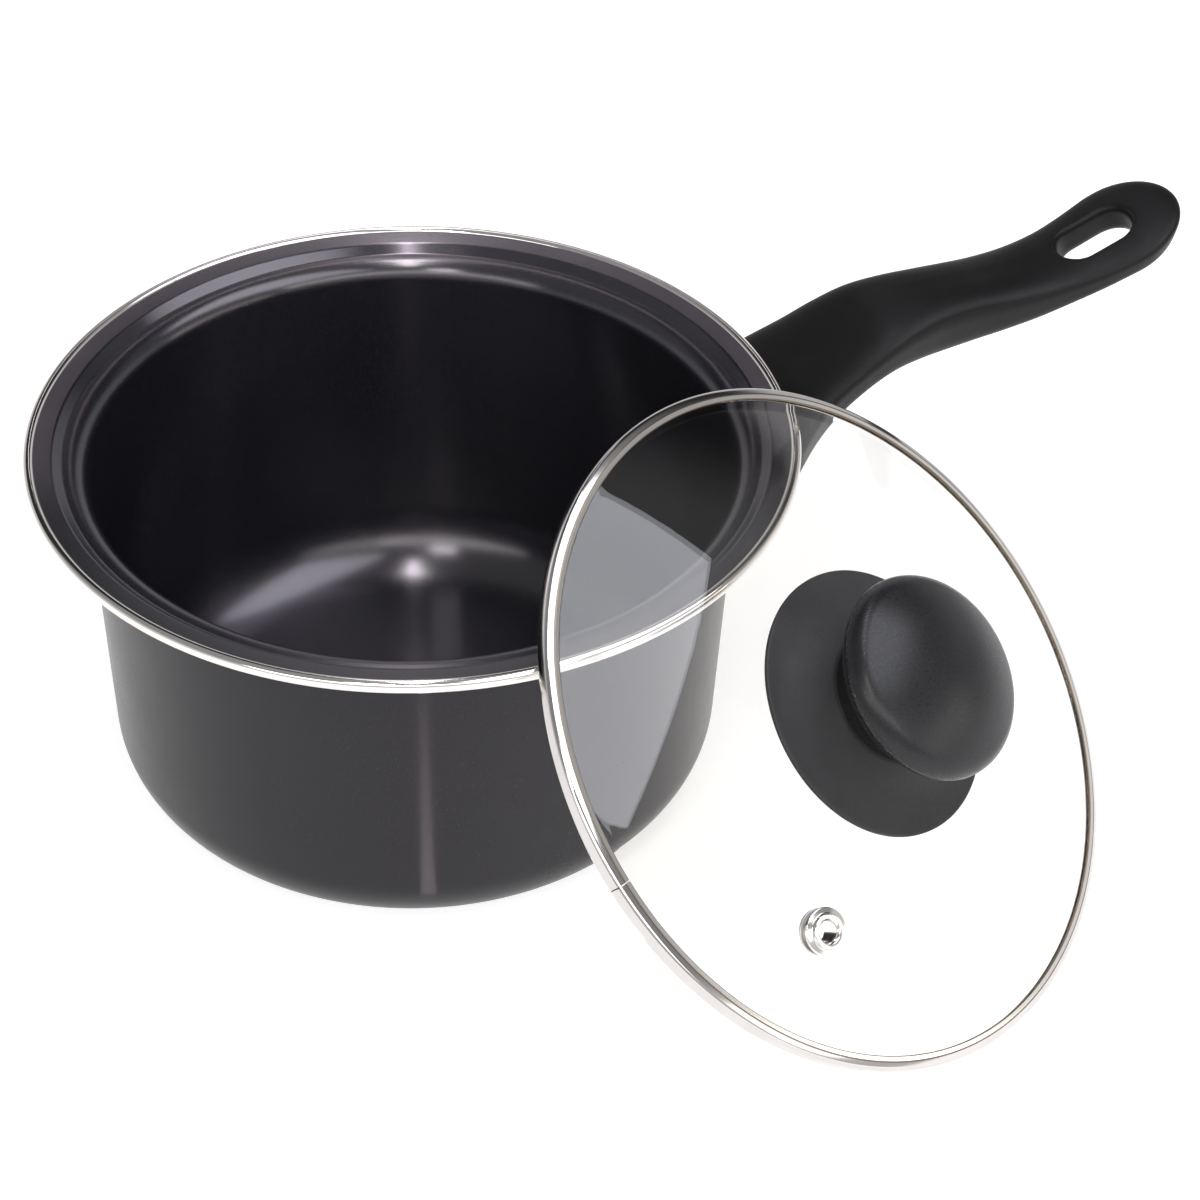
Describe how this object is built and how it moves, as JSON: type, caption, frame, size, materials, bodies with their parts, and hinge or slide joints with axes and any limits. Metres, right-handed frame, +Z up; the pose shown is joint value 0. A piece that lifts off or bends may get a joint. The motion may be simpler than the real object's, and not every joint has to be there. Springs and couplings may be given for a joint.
{
  "type": "saucepan with glass lid",
  "caption": "Dark non-stick saucepan with a stepped rim, one moulded side handle with a hanging slot, and a domed glass lid with a steam vent leaning on it.",
  "frame": {"origin": "centre of the flat underside of the pan, on the table", "axes": "+X runs from the pan axis out along the handle, +Z up along the pan axis; the lid leans on the rim on the -Y side"},
  "size_m": [0.2932, 0.2501, 0.1139],
  "materials": {
    "nonstick_shell": "satin non-stick coating on pressed steel",
    "bright_steel": "polished stainless steel",
    "plain_steel": "plain zinc-plated steel",
    "phenolic": "matte black phenolic moulding",
    "clear_glass": "clear toughened glass",
    "brass": "turned",
    "silicone": "grey silicone"
  },
  "bodies": {
    "pan": {"pan_shell": "nonstick_shell", "pan_lip": "nonstick_shell", "rim_ring": "bright_steel", "handle_bracket": "plain_steel", "handle": "phenolic", "handle_screw": "plain_steel", "handle_washer": "plain_steel"},
    "lid": {"lid_glass": "clear_glass", "lid_band": "bright_steel", "vent_eyelet": "bright_steel", "vent_back_ring": "plain_steel", "knob_skirt": "phenolic", "knob_head": "phenolic", "knob_insert": "brass", "knob_screw": "plain_steel", "knob_washer": "plain_steel", "gasket_upper": "silicone", "gasket_lower": "silicone"}
  },
  "joints": [
    {"name": "lid_lift", "type": "slide", "parent": "pan", "child": "lid", "axis": [0, 0, 1], "range_m": [0, 0.25]}
  ]
}
